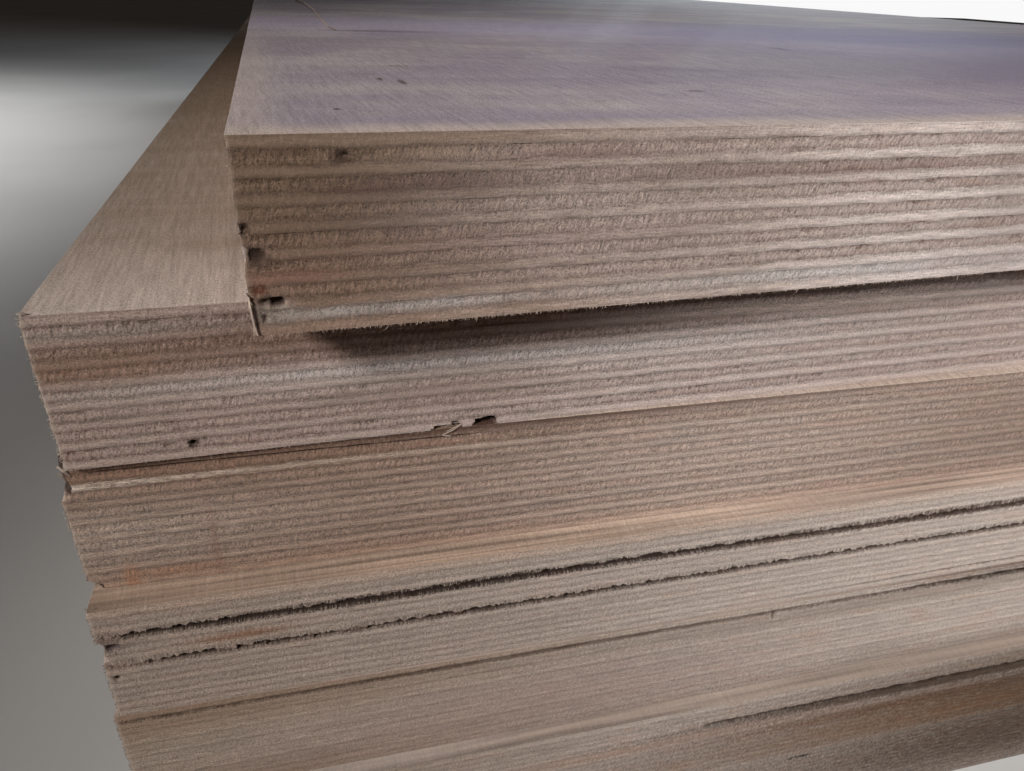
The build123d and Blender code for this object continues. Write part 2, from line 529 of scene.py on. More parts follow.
def chip_corner(node, grids, seed):
    """Takes the front left corner away, from the front and from the left side."""
    for number in (FRONT, LEFT):
        g = grids[number]
        along, back = corner_reach(node, g["H"], seed + 14)
        if number == FRONT:
            inside = g["S"] < along
            t = 0.5 + 0.5 * g["S"] / np.maximum(along, TINY)
        else:
            from_corner = frames[node]["length"] - g["S"]
            inside = from_corner < back
            t = 0.5 - 0.5 * from_corner / np.maximum(back, TINY)
        bulge = 0.12 * noise(g["H"] / 0.9, g["S"] / 1.1, seed + 15)
        g["X"] = np.where(inside, np.maximum(g["X"], along * t + bulge), g["X"])
        g["Y"] = np.where(inside, np.maximum(g["Y"], back * (1 - t) + bulge), g["Y"])
        g["D"] = np.where(inside, np.maximum(g["D"], np.minimum(along, back) * 0.5), g["D"])


def ring_quads(grids, p):
    """The quads between the grids' points, their places in the edge's map and their material."""
    rows = len(p)
    columns = sum(len(g["s"]) - 1 for g in grids)
    quads, uvs, slots = [], [], []
    start = 0
    for number, g in enumerate(grids):
        n = len(g["s"]) - 1
        I, J = np.meshgrid(np.arange(n), np.arange(rows - 1), indexing="ij")
        a = ((start + I) % columns) * rows + J
        b = ((start + I + 1) % columns) * rows + J
        quads.append(np.stack([a, a + 1, b + 1, b], axis=-1).reshape(-1, 4))
        s0, s1 = g["s"][I] * MM, g["s"][I + 1] * MM
        p0, p1 = p[J] / PLIES, p[J + 1] / PLIES
        uvs.append(np.stack([s0, p0, s0, p1, s1, p1, s1, p0], axis=-1).reshape(-1, 2))
        slots.append(np.full(n * (rows - 1), LONG_SLOT if number in (RIGHT, LEFT) else END_SLOT))
        start += n
    return np.concatenate(quads), np.concatenate(uvs), np.concatenate(slots)


def add_object(name, data):
    obj = bpy.data.objects.new(name, data)
    SCENE.collection.objects.link(obj)
    return obj


def build_panel(node, seed, materials):
    """A panel's skin with its fibres, in the place of its solid."""
    at = frames[node]
    lines, p = cut_lines(node)
    grids = [side_grid(node, number, s, p, seed) for number, s in enumerate(lines)]
    place_sides(node, grids)
    chip_corner(node, grids, seed)

    # the last column of each side is the first of the next one
    xs, ys, hs, sunk = (np.concatenate([g[key][:-1] for g in grids]) for key in "XYHD")
    skin = np.stack([xs * MM, ys * MM, (at["thick"] - hs) * MM], axis=-1).reshape(-1, 3)
    quads, edge_uv, slots = ring_quads(grids, p)
    top = np.arange(len(xs)) * len(p)
    bottom = (top + len(p) - 1)[::-1]
    hairs = fibres_of(node, grids[FRONT], at["thick"], seed)
    hair_co = np.concatenate(hairs.co)
    hair_quads = np.array(hairs.quads) + len(skin)
    faces = [*quads.tolist(), top.tolist(), bottom.tolist(), *hair_quads.tolist()]

    name = "plywood_" + node[-1]
    mesh = bpy.data.meshes.new(name)
    co = np.concatenate([skin, hair_co * MM])
    mesh.from_pydata(co, [], faces)
    slots = np.concatenate([slots, [FACE_SLOT, FACE_SLOT], np.full(len(hair_quads), FIBRE_SLOT)])
    mesh.polygons.foreach_set("material_index", slots.astype(np.int32))
    mesh.validate()
    layer = mesh.uv_layers.new(name="edge")
    uv = np.concatenate([edge_uv, co[top][:, :2], co[bottom][:, :2], np.array(hairs.uv)])
    layer.data.foreach_set("uv", uv.astype(np.float32).ravel())
    depth = mesh.attributes.new("sunk", "FLOAT", "POINT")
    sunk = np.concatenate([sunk.ravel(), np.zeros(len(hair_co))])
    depth.data.foreach_set("value", sunk.astype(np.float32))
    mesh.shade_smooth()
    mesh.set_sharp_from_angle(angle=math.radians(SHARP_ANGLE))
    for material in materials:
        mesh.materials.append(material)

    obj = add_object(name, mesh)
    obj.location = Vector(at["corner"])
    obj.rotation_euler = (0, 0, at["yaw"])
    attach(obj, "root")
    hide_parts(node)


# Materials

# Sockets of the colour mix node
MIX_FACTOR, MIX_A, MIX_B, MIX_COLOUR = 0, 6, 7, 2
# How far a seed shifts the noise
SEED_STEP = (17.31, 5.77)
# Layers of noise: how often they change along and down an edge, or along and back on a face,
# per mm or per veneer; what is added to the seed; their detail; and their roughness
LAYERS = {
    "patch": (0.04, 0.3, 1, 4, 0.65),
    "fibre": (0.14, 3.4, 2, 4, 0.75),
    "pepper": (1.8, 5.2, 5, 2, 1.0),
    "dots": (0.42, 2.3, 6, 4, 0.75),
    "sore": (0.12, 0.3, 7, 4, 0.75),
    "bend": (0.075, 0.85, 8, 4, 0.7),
    "cloud": (0.009, 0.014, 0, 5, 0.6),
    "band": (0.008, 0.05, 1, 5, 0.65),
    "stripe": (0.012, 0.42, 4, 2, 0.5),
}
# How close to the faces an edge's veneers are read, in veneers
INNERMOST = 0.001


def linear(colour):
    """The colour a shader takes, for one as it is seen on a screen, 0 to 255."""
    shares = [c / 255 for c in colour]
    return (*(c / 12.92 if c <= 0.04045 else ((c + 0.055) / 1.055) ** 2.4 for c in shares), 1.0)


def between(pair, share):
    """The first of a pair at 0 and the second at 1."""
    return pair[0] + share * (pair[1] - pair[0])


class Value:
    """A node's output; each sign between two of them adds a node that works it out."""

    def __init__(self, shade, socket):
        self.shade, self.socket = shade, socket

    def __add__(self, other):
        return self.shade.calc("ADD", self, other)

    def __mul__(self, other):
        return self.shade.calc("MULTIPLY", self, other)

    def __sub__(self, other):
        return self.shade.calc("SUBTRACT", self, other)

    def __rsub__(self, other):
        return self.shade.calc("SUBTRACT", other, self)

    def __mod__(self, other):
        return self.shade.calc("MODULO", self, other)

    def __abs__(self):
        return self.shade.calc("ABSOLUTE", self)

    __radd__ = __add__
    __rmul__ = __mul__


class Shade:
    """Writes the node tree of a material or a world; each call gives back its node's output."""

    def __init__(self, owner):
        owner.use_nodes = True
        self.owner, self.tree = owner, owner.node_tree
        self.tree.nodes.clear()

    def add(self, kind, inputs, out=0, **settings):
        node = self.tree.nodes.new(kind)
        for key, value in settings.items():
            setattr(node, key, value)
        for key, value in inputs.items():
            if isinstance(value, Value):
                self.tree.links.new(value.socket, node.inputs[key])
            else:
                node.inputs[key].default_value = value
        return Value(self, node.outputs[out]) if node.outputs else None

    def calc(self, operation, *values):
        return self.add("ShaderNodeMath", dict(enumerate(values)), operation=operation)

    def ramp(self, *value_and_limits):
        """Smooth from one limit to the other, and from 0 to 1 or between two more values."""
        inputs = dict(enumerate(value_and_limits))
        return self.add("ShaderNodeMapRange", inputs, interpolation_type="SMOOTHSTEP")

    def mix(self, factor, a, b, blend="MIX"):
        """A mix of two colours; the factor is held between 0 and 1."""
        a, b = (c if isinstance(c, Value) else linear(c) for c in (a, b))
        inputs = {MIX_FACTOR: factor, MIX_A: a, MIX_B: b}
        settings = {"data_type": "RGBA", "blend_type": blend, "clamp_result": False}
        return self.add("ShaderNodeMix", inputs, out=MIX_COLOUR, **settings)

    def place(self, kind, out=0, **settings):
        """The first two coordinates of a place."""
        at = self.add(kind, {}, out, **settings)
        return [self.add("ShaderNodeSeparateXYZ", {0: at}, out=axis) for axis in (0, 1)]

    def point(self, x, y):
        return self.add("ShaderNodeCombineXYZ", {0: x, 1: y})

    def noise(self, x, y, seed, detail=2.0, rough=0.5):
        """Noise about 0, shifted by the seed; its values lie mostly within 0.25."""
        at = self.point(x + seed * SEED_STEP[0], y + seed * SEED_STEP[1])
        inputs = {"Vector": at, "Scale": 1.0, "Detail": detail, "Roughness": rough}
        return self.add("ShaderNodeTexNoise", inputs, noise_dimensions="2D") - 0.5

    def layer(self, name, seed, x, y):
        rate_x, rate_y, step, detail, rough = LAYERS[name]
        return self.noise(x * rate_x, y * rate_y, seed + step, detail, rough)

    def brighten(self, body, gain):
        grey = self.add("ShaderNodeCombineColor", {0: gain, 1: gain, 2: gain})
        return self.mix(1.0, body, grey, "MULTIPLY")

    def stain(self, body, at, mark, wobble, weave=1.0):
        """An ellipse of another colour, which fades across its rim."""
        x, y, half_width, half_height, colour, strength, fade = mark
        shares = (1 / half_width, 1 / half_height, 0)
        inputs = {0: at, 1: shares, 2: (-x * shares[0], -y * shares[1], 0)}
        scaled = self.add("ShaderNodeVectorMath", inputs, operation="MULTIPLY_ADD")
        far = self.add("ShaderNodeVectorMath", {0: scaled}, out=1, operation="LENGTH")
        here = self.ramp(far + wobble, 1 + fade, 1 - fade, 0, strength) * weave
        return self.mix(here, body, colour)

    def close(self, colour, rough, bump, strength, distance, shine=0.12):
        """Ends the tree with a rough surface; distance is the height of its bumps in metres."""
        normal = self.add("ShaderNodeBump", {"Strength": strength, "Distance": distance, "Height": bump})
        inputs = {"Base Color": colour, "Roughness": rough, "Normal": normal, "Specular IOR Level": shine}
        self.add("ShaderNodeOutputMaterial", {"Surface": self.add("ShaderNodeBsdfPrincipled", inputs)})
        return self.owner


class EdgeShade(Shade):
    """The sawn edge: veneers in turn with the grain along the edge and cut across it."""

    def __init__(self, name, seed, look, long_side):
        super().__init__(bpy.data.materials.new(name))
        self.seed, self.look = seed, look
        u, v = self.place("ShaderNodeUVMap", uv_map="edge")
        s, flat = self.s, self.flat = u * (1 / MM), v * PLIES
        pepper = self.pepper = self.layer("pepper", seed, s, flat)
        # the veneers wave a little and run into each other
        shift = self.layer("bend", seed, s, flat) * look["bend"] + pepper * 0.25
        p = flat + shift * self.inside(0, 0.7)
        p = self.p = self.calc("MINIMUM", self.calc("MAXIMUM", p, INNERMOST), PLIES - INNERMOST)
        k, h = self.k, self.h = self.calc("FLOOR", p), p * PLY
        # the nearest glue line, and how far below it a place is
        self.seam = self.calc("ROUND", p)
        self.under = p - self.seam
        self.inner = self.inside(0.4, 0.7)
        # 1 in the veneers cut across the grain and 0 in the others; a long side has them in turn
        self.across = 1.0 - k % 2.0 if long_side else k % 2.0
        self.along = 1.0 - self.across
        self.right = 0.5 if long_side else self.ramp(s, 70, 270)
        self.patch = self.layer("patch", seed, s, h)
        # long fibre in the veneers along the edge, cut strands and pores in all of them
        self.fibre = self.layer("fibre", seed, s, h)
        self.strand = self.noise(s * 1.25 + h * 0.35, h * 0.5 + k * 5.0, seed + 4, 2, 0.7)
        strands = self.strand * between(look["weave"], self.across)
        pores = pepper * between(look["pepper"], self.across)
        self.grain = strands + pores + self.fibre * self.along * look["fibre"]

    def inside(self, start, end):
        """0 near the faces and 1 between them; the step is given in veneers from a face."""
        return self.ramp(self.flat, start, end) * self.ramp(self.flat, PLIES - start, PLIES - end)

    def wood(self):
        """The colour of the veneers, with patches of warmer and greyer wood."""
        look = self.look
        spread = between(look["spread"], self.right) * (1.0 + self.patch * 1.6)
        body = self.mix(self.across * spread, look["light"], look["dark"])
        body = self.mix(self.ramp(self.patch, 0.0, 0.22, 0, look["blush"]), body, look["red"])
        return self.mix(self.ramp(self.patch, -0.04, -0.24, 0, look["chill"]), body, look["grey"])

    def brightness(self):
        """How bright each place is: by veneer, by patch, by its grain, and with painted shading across
        each veneer.
        """
        look = self.look
        number = {"W": self.k * 3.17 + (self.seed + 0.37)}
        chance = self.add("ShaderNodeTexWhiteNoise", number, noise_dimensions="1D")
        gain = 1.0 + (chance - 0.5) * look["tone"] + self.patch * (look["tone"] * 2.5)
        # painted shading: each veneer lighter in its middle and darker towards its glue lines, as if
        # rounded
        crown = self.ramp(abs(self.under), 0.0, 0.5, -0.5, 0.5)
        gain = gain * (1.0 + self.grain * look["grain"])
        return gain * (1.0 + crown * (look["crown"] + self.along * 0.1))

    def glue_lines(self, body):
        """Dark lines at the glue, broad where they lie above a veneer cut across the grain."""
        look = self.look
        fuzz = self.pepper * 0.55
        thin = self.ramp(abs(self.under) + fuzz, look["line"], -0.06)
        below = self.ramp(self.under + fuzz, 0.55, 0.0) * self.ramp(self.under, -0.1, 0.05)
        line = thin * 0.75 + below * self.across * look["under"]
        # every other line is stronger
        strength = between(look["glue"], self.right) * (1.25 - self.seam % 2.0 * 0.5)
        strength = strength * (1.0 + self.layer("dots", self.seed, self.s, self.seam) * look["dots"])
        return self.mix(line * self.inner * strength, body, look["deep"])

    def sores(self, body):
        """Torn places that hang from the glue lines, in the veneers cut across the grain."""
        sore = self.ramp(self.layer("sore", self.seed, self.s, self.h), 0.02, 0.16)
        hung = self.ramp(self.p - self.k + self.strand * 1.5, 0.75, 0.1)
        amount = self.across * self.inner * self.look["sores"]
        return self.mix(sore * hung * amount, body, self.look["deep"])

    def stains(self, body):
        """Painted shade darkening towards the left corner, then the stains and painted shading."""
        look = self.look
        # painted shade: the edge darkens towards the left corner
        grime = self.ramp(self.s + self.patch * 160.0, 190, 0, 0, look["grime"])
        body = self.mix(grime, body, self.mix(1.0, body, look["grime_colour"], "MULTIPLY"))
        wobble = (self.pepper * 0.9 + self.strand * 0.8) * look["ragged"]
        weave = 1.0 + self.fibre * 2.0 + self.pepper * 1.2
        at = self.point(self.s, self.h)
        for mark in look["stains"]:
            body = self.stain(body, at, mark, wobble, weave)
        return body

    def broken_corner(self, body):
        """Pale broken fibre down the left corner."""
        ragged = self.s + (self.pepper + self.strand) * 2.6
        return self.mix(self.ramp(ragged, 0.9, 0.1, 0, self.look["worn"]), body, self.look["strand"])

    def hollows(self, body):
        """Painted shade: darker where the mesh lies deep behind the edge."""
        sunk = self.add("ShaderNodeAttribute", {}, out="Fac", attribute_name="sunk")
        deep = self.ramp(sunk + self.pepper * 1.8, 0.35, 1.4, 0, 0.92)
        return self.mix(deep, body, self.look["hollow"])


def edge_material(name, seed, look, long_side=False):
    """The sawn edge at a panel's end, or along its side."""
    t = EdgeShade(name, seed, look, long_side)
    body = t.sores(t.glue_lines(t.wood()))
    if long_side:
        body = t.brighten(body, t.brightness())
    else:
        body = t.broken_corner(t.brighten(t.stains(body), t.brightness()))
    return t.close(t.hollows(body), 0.8 + t.grain * 0.1, t.grain * 0.7, 0.62, 0.0005)


def face_material(name, seed, look):
    """The sanded face of a panel."""
    t = Shade(bpy.data.materials.new(name))
    x, y = (c * (1 / MM) for c in t.place("ShaderNodeTexCoord", out="Object"))
    cloud, band, stripe = (t.layer(kind, seed, x, y) for kind in ("cloud", "band", "stripe"))
    sand = t.noise(x * 0.8 + y * 0.05, y * 0.05, seed + 2, 4, 0.8)
    dust = t.noise(x * 1.7, y * look["dust"], seed + 3, 3, 1.0)
    body = t.mix(t.ramp(band, -0.14, 0.16, 0, 0.7), look["face"], look["face_b"])
    body = t.mix(t.ramp(cloud, -0.08, 0.16, 0, 0.8), body, look["face_c"])
    # the rim along the front, paler or darker than the face
    rim = look["rim"]
    margin = y + dust * (rim * 1.1) + cloud * (rim * 1.6)
    body = t.mix(t.ramp(margin, rim, 0.0, 0, 0.85), body, look["rim_colour"])
    at = t.point(x, y)
    wobble = dust * 1.4 + sand * 0.6
    for mark in look["face_marks"]:
        body = t.stain(body, at, mark, wobble)
    gain = 1.0 + (sand * 1.2 + dust * 2.3) * look["sand"] + stripe * look["stripe"]
    body = t.brighten(body, gain)
    return t.close(body, 0.68 + dust * 0.2, sand * 0.6 + dust * 0.6, 0.45, 0.0003, 0.25)


def fibre_material(name, seed, pale, dark):
    """Torn strands, paler and drier than the edge they hang from."""
    t = Shade(bpy.data.materials.new(name))
    u, v = t.place("ShaderNodeUVMap", uv_map="edge")
    tone = t.noise(u * 900.0, v * 3.0, seed)
    return t.close(t.mix(t.ramp(tone, -0.15, 0.18), pale, dark), 0.7, tone, 0.2, 0.0001)


# How the panels look: BASE for all of them, changed for each in LOOKS. A pair is for the left end
# and from 270 mm on, or for the veneers along the edge and those cut across the grain
DEEP = (70, 52, 45)
BASE = {
    # the veneers along the edge, those cut across the grain, the glue, and painted shade in deep holes
    "light": (190, 176, 166), "dark": (146, 130, 120), "deep": (84, 63, 53),
    "hollow": (48, 35, 30),
    # how far the veneers cut across the grain go from light to dark, left and right
    "spread": (0.3, 0.45),
    # patches of warmer and greyer wood, and how strong they are
    "red": (172, 142, 128), "blush": 0.35, "grey": (180, 173, 166), "chill": 0.4,
    # how much the veneers differ in brightness, and how much brighter their middles are, a painted
    # shading as if each were rounded
    "tone": 0.1, "crown": 0.16,
    # how strong the grain is, and in it cut strands and pores, along and across, and long fibre
    "grain": 1.9, "weave": (0.2, 0.75), "pepper": (0.85, 1.0), "fibre": 0.7,
    # the glue lines: how strong they are, left and right, how far they fade and wander, counted in
    # veneers, the shade below them, how much they change along the edge, and torn places
    "glue": (0.42, 0.3), "line": 0.4, "bend": 0.35, "under": 0.1, "dots": 2.5, "sores": 0.35,
    # stains, and painted shadow, shade and light, as (along, down, half width, half height, colour,
    # strength, how soft the rim is), and how ragged their rims are
    "stains": [], "ragged": 1.0,
    # painted shade that darkens the edge towards the left corner, and broken fibre down it
    "grime": 0.8, "grime_colour": (206, 186, 168), "worn": 0.5, "strand": (214, 196, 180),
    # the face, its bands and clouds, and its marks and painted shading as (along, back, and the rest as
    # for stains)
    "face": (176, 158, 146), "face_b": (164, 145, 133), "face_c": (184, 168, 156),
    "face_marks": [],
    # how strong the face's specks and stripes are, and how often a speck changes per mm back
    "sand": 1.0, "stripe": 0.0, "dust": 1.1,
    # the rim of the face along the front, in mm
    "rim": 3.0, "rim_colour": (186, 168, 154),
}
LOOKS = {node: dict(BASE) for node in PANELS}
LOOKS["panel_7"].update(
    spread=(0.35, 1), light=(219, 205, 199), dark=(150, 131, 123), deep=(84, 58, 48),
    hollow=(62, 47, 40), pepper=(0.65, 1), fibre=1, strand=(192, 174, 158), grain=1.6,
    glue=(0.5, 0.16), line=0.38, under=0.28, bend=0.5, sores=0.6, worn=0.2, crown=0.1, sand=0.75,
    dust=0.8, grime=1, face=(150, 139, 144), face_b=(135, 124, 135), face_c=(168, 158, 156),
    rim=11, rim_colour=(178, 161, 151),
    stains=[
        (0, 9, 80, 20, (94, 79, 62), 0.6, 0.95), (0, 30, 60, 16, (116, 92, 80), 0.4, 0.95),
        (8, 27.6, 11, 1.4, (150, 106, 92), 0.45, 0.9), (2.4, 30, 1.6, 1.1, (98, 50, 30), 0.75, 0.6),
        # these two lines: painted shade in the knot holes and nicks of the edge
        (1.2, 17.5, 1.1, 1.1, (58, 44, 37), 0.8, 0.5), (2.7, 22.9, 2.3, 1.3, (56, 43, 37), 0.85, 0.4),
        (5.4, 33, 1.7, 1, (46, 34, 30), 0.85, 0.4), (20.6, 4.3, 2.6, 1.3, (66, 50, 42), 0.8, 0.7),
        (10, 3.6, 14, 0.9, (92, 72, 60), 0.5, 0.8), (44, 10, 15, 2, (84, 58, 50), 0.75, 0.9),
        (24, 10.4, 10, 1.8, (92, 70, 60), 0.6, 0.9), (71, 5, 14, 1.5, (110, 74, 64), 0.6, 0.9),
        (26, 17, 20, 2, (96, 78, 66), 0.4, 0.9), (88, 10, 30, 1.6, (104, 74, 66), 0.55, 0.9),
        (140, 10.4, 40, 1.7, (112, 84, 76), 0.4, 0.9), (60, 22.5, 40, 2.6, (136, 102, 90), 0.35, 0.9),
        (75, 17, 34, 17, (206, 190, 184), 0.35, 0.95), (3, 24.4, 2.6, 1.5, (84, 66, 56), 0.7, 0.6),
        (5, 35.2, 4.5, 2.4, (150, 142, 132), 0.6, 0.6), (16, 36, 8, 1.2, (180, 174, 168), 0.45, 0.95),
        (38, 35.8, 20, 1.3, (190, 186, 183), 0.5, 0.95),
        (125, 35.8, 44, 1.4, (204, 201, 198), 0.5, 0.95),
        (275, 36.4, 95, 2.4, (208, 204, 206), 0.5, 0.95), (99, 19, 18, 50, (150, 134, 126), 0.25, 0.9),
        (194, 19, 16, 50, (150, 134, 126), 0.4, 0.9),
    ],
    face_marks=[
        (0, 70, 8, 170, (176, 160, 150), 0.6, 0.9), (38.7, 80.1, 0.8, 3, DEEP, 0.8, 0.5),
        (43.9, 73.5, 1, 5, DEEP, 0.8, 0.6), (22.4, 27.9, 0.8, 1.1, DEEP, 0.85, 0.4),
        (251, 199, 3.6, 8, (84, 68, 66), 0.75, 0.7), (124.3, 53.5, 2.8, 1.2, DEEP, 0.8, 0.5),
        (224.6, 67.8, 2, 1.6, (90, 72, 70), 0.7, 0.6),
        (382, 261, 7, 6, (92, 80, 88), 0.7, 0.8),
        (68, 275, 27, 8, (78, 64, 62), 0.9, 0.6),
        (30, 305, 8, 6, (112, 100, 98), 0.5, 0.8),
        (48.1, 113.7, 4, 1.8, (108, 94, 90), 0.6, 0.6),
        (35.9, 91.8, 5, 1.5, (112, 98, 94), 0.5, 0.6),
        (249.1, 72.9, 4, 1.6, (98, 84, 86), 0.6, 0.7),
        # at the end of this line and on the next: painted bluish reflection and shade across the back and
        # right
        (88.1, 36.4, 1.6, 1, (108, 94, 94), 0.5, 0.6), (330, 110, 190, 92, (106, 96, 112), 0.85, 0.7),
        (150, 330, 190, 70, (182, 170, 190), 0.6, 0.8), (420, 300, 200, 120, (106, 100, 136), 0.8, 0.8),
    ],
)
LOOKS["panel_6"].update(
    spread=(0.3, 0.8), sand=0.8, grime=0.6, grain=1.8, hollow=(62, 47, 40), sores=0.6,
    glue=(0.45, 0.3), under=0.12, bend=0.45, light=(199, 183, 177), dark=(155, 136, 129),
    face=(158, 142, 131), face_b=(140, 122, 107), face_c=(170, 153, 142),
    face_marks=[
        # at the end of this line, a paler strip along the front, and on the next the face darkening to
        # the back: painted light and shade
        (1.4, 4.2, 0.9, 1.8, (132, 96, 70), 0.8, 0.5), (30, 4, 90, 22, (190, 174, 164), 0.8, 0.9),
        (60, 480, 300, 300, (146, 122, 100), 0.9, 0.95),
    ],
    stains=[
        (25, 11.5, 80, 5.5, (138, 108, 92), 0.5, 0.8), (8, 14, 22, 4, (132, 98, 74), 0.35, 0.9),
        (120, 21, 90, 4.5, (204, 194, 189), 0.35, 0.9), (105, 19.8, 75, 1.3, (214, 206, 202), 0.5, 0.9),
        # at the end of this line: painted shade in the hole at 29.4
        (20, 5, 40, 1.4, (164, 156, 147), 0.4, 0.9), (29.6, 36, 1.3, 1.2, (58, 44, 38), 0.8, 0.5),
        (92, 28, 26, 6, (146, 126, 115), 0.6, 0.9), (290, 25, 80, 24, (156, 140, 132), 0.6, 0.95),
        # the next three lines: painted shadow under panel_7's overhang, a paler painted light where it is
        # half lit, and a painted dark band under its lip
        (106, 7.5, 62, 7.5, (98, 68, 50), 0.85, 0.95),
        (196, 11.2, 50, 2.6, (232, 211, 199), 0.65, 0.95), (185, 7.8, 60, 1.5, (84, 60, 48), 0.8, 0.8),
        (285, 6.4, 70, 1.6, (84, 60, 48), 0.8, 0.8),
    ],
)
LOOKS["panel_5"].update(
    light=(184, 164, 152), dark=(148, 126, 115), red=(164, 128, 113), blush=0.45, tone=0.15,
    grain=2, ragged=1.4, glue=(0.5, 0.42),
    face_marks=[
        (96, 1.6, 8, 4, (120, 92, 74), 0.85, 0.5),
        (106.5, 1.6, 4.5, 4, (70, 46, 36), 0.95, 0.4),
    ],
    stains=[
        # this line: painted shadow under panel_6's overhang on the top veneer
        (0, 1.4, 130, 1.5, (112, 82, 66), 0.5, 0.8), (120, 0.4, 160, 1.5, (74, 50, 39), 0.8, 0.9),
        (40, 4.2, 120, 1.4, (136, 104, 84), 0.45, 0.8), (8, 6.8, 15, 0.8, (232, 216, 200), 0.85, 0.8),
        (30, 6.6, 22, 0.55, (222, 204, 188), 0.6, 0.9), (75, 6.4, 50, 0.5, (206, 188, 172), 0.35, 0.9),
        (33.2, 29, 1, 13, (128, 78, 62), 0.5, 0.9), (11, 37.4, 1.7, 4, (170, 108, 62), 0.75, 0.9),
        (21, 36.4, 10, 1.4, (160, 108, 74), 0.65, 0.9),
        (90, 38.8, 230, 2.2, (192, 158, 134), 0.28, 0.9), (0, 24, 60, 12, (206, 190, 178), 0.4, 0.95),
        (300, 22, 70, 26, (136, 117, 106), 0.7, 0.95), (180, 22, 60, 18, (206, 188, 177), 0.25, 0.95),
    ],
)
LOOKS["panel_4"].update(
    light=(194, 180, 170), dark=(150, 134, 124), face=(214, 190, 170), face_b=(202, 177, 156),
    face_c=(216, 197, 181), rim=2.5, rim_colour=(176, 157, 143), stripe=1.5, sand=0.3, ragged=1.7,
    hollow=(58, 44, 38), grime=0.5, spread=(0.08, 0.12), weave=(0.3, 0.35),
    pepper=(1, 1), tone=0.12, glue=(0.3, 0.2), under=0.05, crown=0.08, sores=0.12,
    face_marks=[
        (0, 0, 190, 30, (152, 128, 110), 0.9, 0.95), (120, 2.2, 220, 0.35, (112, 92, 78), 0.5, 0.7),
        (160, 4.9, 240, 0.45, (118, 96, 80), 0.45, 0.7), (265, 0, 80, 40, (166, 146, 134), 0.75, 0.95),
    ],
    stains=[
        # the dark marks over the gaps, the opened glue line and the nick at 3.7: painted shade over the
        # brown fibre in those hollows
        (120, 0.6, 260, 2, (186, 156, 134), 0.4, 0.9), (90, 9.5, 86, 1.6, (58, 44, 37), 0.95, 0.35),
        (270, 9.7, 135, 1.8, (76, 60, 52), 0.95, 0.4), (150, 20.3, 165, 1.2, (76, 58, 49), 0.9, 0.5),
        (330, 20.2, 90, 1.4, (88, 71, 62), 0.9, 0.5), (290, 37.3, 60, 0.35, (96, 78, 68), 0.6, 0.8),
        (36, 15.8, 11, 1.5, (138, 92, 60), 0.65, 0.9), (3.7, 13.3, 2.2, 1.6, (70, 62, 72), 0.75, 0.6),
        (3, 11.5, 6, 2.5, (100, 78, 66), 0.4, 0.9), (110, 33, 34, 7, (158, 138, 128), 0.3, 0.9),
    ],
)
for node in ("panel_1", "panel_2", "panel_3"):
    LOOKS[node].update(
        spread=(0.06, 0.1), weave=(0.3, 0.35), pepper=(1, 1), blush=0.5, chill=0.2, tone=0.14,
        glue=(0.2, 0.14), under=0.04, crown=0.05, sores=0.08, stripe=1.2, sand=0.3, ragged=1.2,
        rim=1.6,
    )
LOOKS["panel_3"].update(
    face=(160, 143, 132), face_b=(150, 133, 122), face_c=(166, 149, 138),
    rim_colour=(165, 148, 137),
    face_marks=[(380, 0, 90, 30, (92, 75, 66), 0.9, 0.6)],
    stains=[
        (20, 1.3, 160, 1.3, (140, 112, 88), 0.35, 0.8), (20, 7.5, 120, 5, (160, 137, 110), 0.25, 0.9),
        # the dark lines over the opened first glue line and where panel_4 rests, and the mark on the hole
        # at 209.6: painted shade
        (30, 21, 80, 10, (208, 195, 182), 0.3, 0.95), (130, 2.9, 150, 1, (80, 60, 48), 0.75, 0.6),
        (270, 7, 120, 4, (150, 135, 124), 0.6, 0.95), (130, 26, 80, 14, (164, 140, 130), 0.5, 0.95),
        (345, 3.1, 88, 1.5, (58, 45, 38), 0.95, 0.6), (375, 0.6, 84, 0.9, (84, 67, 58), 0.85, 0.8),
        (209.6, 4.2, 0.7, 1.5, (96, 78, 68), 0.8, 0.6), (340, 44, 150, 8, (104, 88, 77), 0.5, 0.95),
        (262, 34, 16, 6, (150, 134, 124), 0.3, 0.9),
    ],
)
LOOKS["panel_2"].update(
    face=(172, 156, 145), face_b=(162, 145, 134), face_c=(178, 163, 153),
    rim_colour=(144, 128, 118),
    face_marks=[(350, 0, 170, 40, (150, 135, 124), 0.85, 0.9)],
    stains=[
        # first on this line: painted shade in the open gap
        (310, 11.5, 120, 2.6, (58, 45, 38), 0.9, 0.6), (350, 5, 110, 7, (126, 108, 94), 0.65, 0.95),
        (180, 15.4, 70, 2.6, (172, 132, 110), 0.4, 0.9), (290, 20.5, 80, 3.2, (134, 88, 58), 0.65, 0.9),
        (360, 30, 140, 21, (60, 44, 30), 0.95, 0.95), (280, 31, 110, 8, (136, 98, 66), 0.35, 0.95),
    ],
)
LOOKS["panel_1"].update(
    face=(104, 88, 76), face_b=(96, 80, 69), face_c=(110, 95, 84), rim_colour=(96, 80, 68),
    stains=[
        # at the end of this line: painted shade in the hole at 235
        (376, 14, 162, 29, (68, 53, 41), 0.95, 0.9), (235.5, 3, 4.5, 1, (50, 38, 32), 0.95, 0.4),
    ],
)

for index, node in enumerate(PANELS):
    seed = 10.0 * index + 3.0
    look = LOOKS[node]
    materials = [
        face_material(f"face_{index + 1}", seed, look),
        edge_material(f"end_edge_{index + 1}", seed, look),
        edge_material(f"long_edge_{index + 1}", seed + 5, look, long_side=True),
        fibre_material(f"fibre_{index + 1}", seed, look["strand"], look["dark"]),
    ]
    build_panel(node, 100 * index + 7, materials)


# Floor, light and camera, in metres

FLOOR_REACH = 9
ORIGIN = Vector(frames["panel_1"]["corner"])


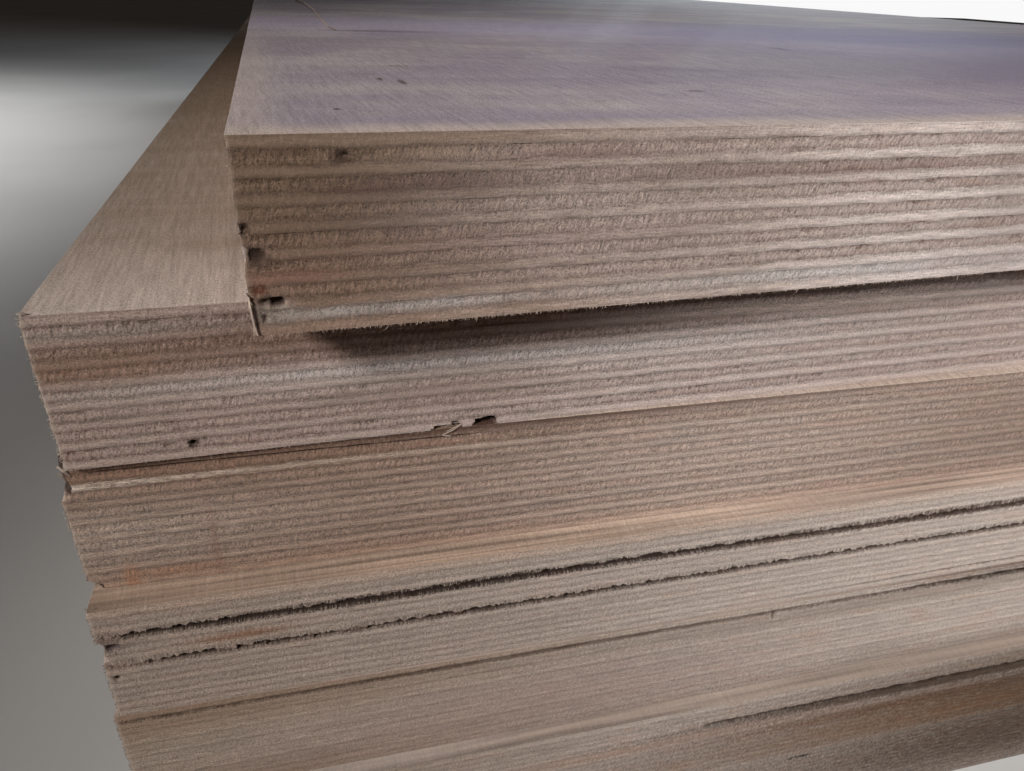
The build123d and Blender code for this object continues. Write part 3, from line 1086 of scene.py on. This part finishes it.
def make_floor():
    """A wide pale plane under the stack."""
    t = Shade(bpy.data.materials.new("floor"))
    x, y = t.place("ShaderNodeTexCoord", out="Object")
    soft = t.noise(x * 3.0, y * 3.0, 1)
    tint = t.mix(t.ramp(soft, -0.2, 0.2), (214, 213, 211), (222, 221, 219))
    corners = [(x * FLOOR_REACH, y * FLOOR_REACH, 0) for x, y in ((-1, -1), (1, -1), (1, 1), (-1, 1))]
    mesh = bpy.data.meshes.new("floor")
    mesh.from_pydata(corners, [], [(0, 1, 2, 3)])
    mesh.materials.append(t.close(tint, 0.8, soft, 0.1, 0.001))
    return add_object("floor", mesh)


def lamp(kind, name, place, target, power, colour, size, width):
    """A soft SPOT or a glowing disk, AREA; width is the full angle of its light."""
    data = bpy.data.lights.new(name, kind)
    data.energy, data.color = power, colour
    if kind == "SPOT":
        data.shadow_soft_size, data.spot_size, data.spot_blend = size, math.radians(width), 1.0
    else:
        data.shape, data.size, data.spread = "DISK", size, math.radians(width)
    obj = add_object(name, data)
    obj.location = ORIGIN + Vector(place)
    obj.rotation_euler = (Vector(target) - Vector(place)).to_track_quat("-Z", "Y").to_euler()


def make_world():
    """A faint warm glow on the stack; the camera sees a plain pale backdrop instead."""
    SCENE.world = bpy.data.worlds.new("studio")
    t = Shade(SCENE.world)
    glow = t.add("ShaderNodeBackground", {"Color": (1, 0.82, 0.7, 1), "Strength": 0.02})
    backdrop = t.add("ShaderNodeBackground", {"Color": (1, 1, 1, 1), "Strength": 0.95})
    seen = t.add("ShaderNodeLightPath", {}, out="Is Camera Ray")
    blend = t.add("ShaderNodeMixShader", {0: seen, 1: glow, 2: backdrop})
    t.add("ShaderNodeOutputWorld", {"Surface": blend})


# The photograph's viewpoint, close over the front left corner of the stack: angles in degrees,
# the place in mm from that corner, and the focal length in pixels of a picture 1024 wide
YAW, PITCH, ROLL = (math.radians(angle) for angle in (14.67, 28.95, 2.22))
CAMERA_PLACE = (71.2, -152.7, 306.6)
FOCAL_PIXELS, PICTURE_PIXELS = 737.83, 1024
SENSOR_WIDTH = 36


def make_camera():
    """The scene's camera, at the photograph's viewpoint."""
    data = bpy.data.cameras.new("camera")
    data.sensor_width = SENSOR_WIDTH
    data.lens = FOCAL_PIXELS * SENSOR_WIDTH / PICTURE_PIXELS
    data.clip_start, data.clip_end = 0.01, 60
    camera = add_object("camera", data)
    aim = Matrix.Rotation(-YAW, 4, "Z") @ Matrix.Rotation(math.pi / 2 - PITCH, 4, "X")
    place = ORIGIN + Vector(CAMERA_PLACE) * MM
    camera.matrix_world = Matrix.Translation(place) @ aim @ Matrix.Rotation(ROLL, 4, "Z")
    SCENE.camera = camera


floor = make_floor()
# the lamps: place and target from the stack's corner, power, colour, size and angle
lamp("SPOT", "key", (-1.5, -1.5, 1.75), (0.24, -0.157, 0.41), 510, (1.0, 0.98, 0.96), 0.38, 26)
lamp("SPOT", "right", (0.5, -0.9, 0.74), (0.36, 0.006, 0.262), 32, (0.98, 0.99, 1.0), 0.16, 19)
lamp("AREA", "back", (1.8, 2.7, 1.2), (0.4, 0.7, 0.28), 31, (0.88, 0.93, 1.0), 1.8, 180)
lamp("AREA", "floor_light", (-1.4, 1.3, 2.2), (-1.4, 1.3, 0), 14, (1, 1, 1), 0.8, 70)
make_world()
make_camera()
SCENE.view_settings.view_transform = "Standard"
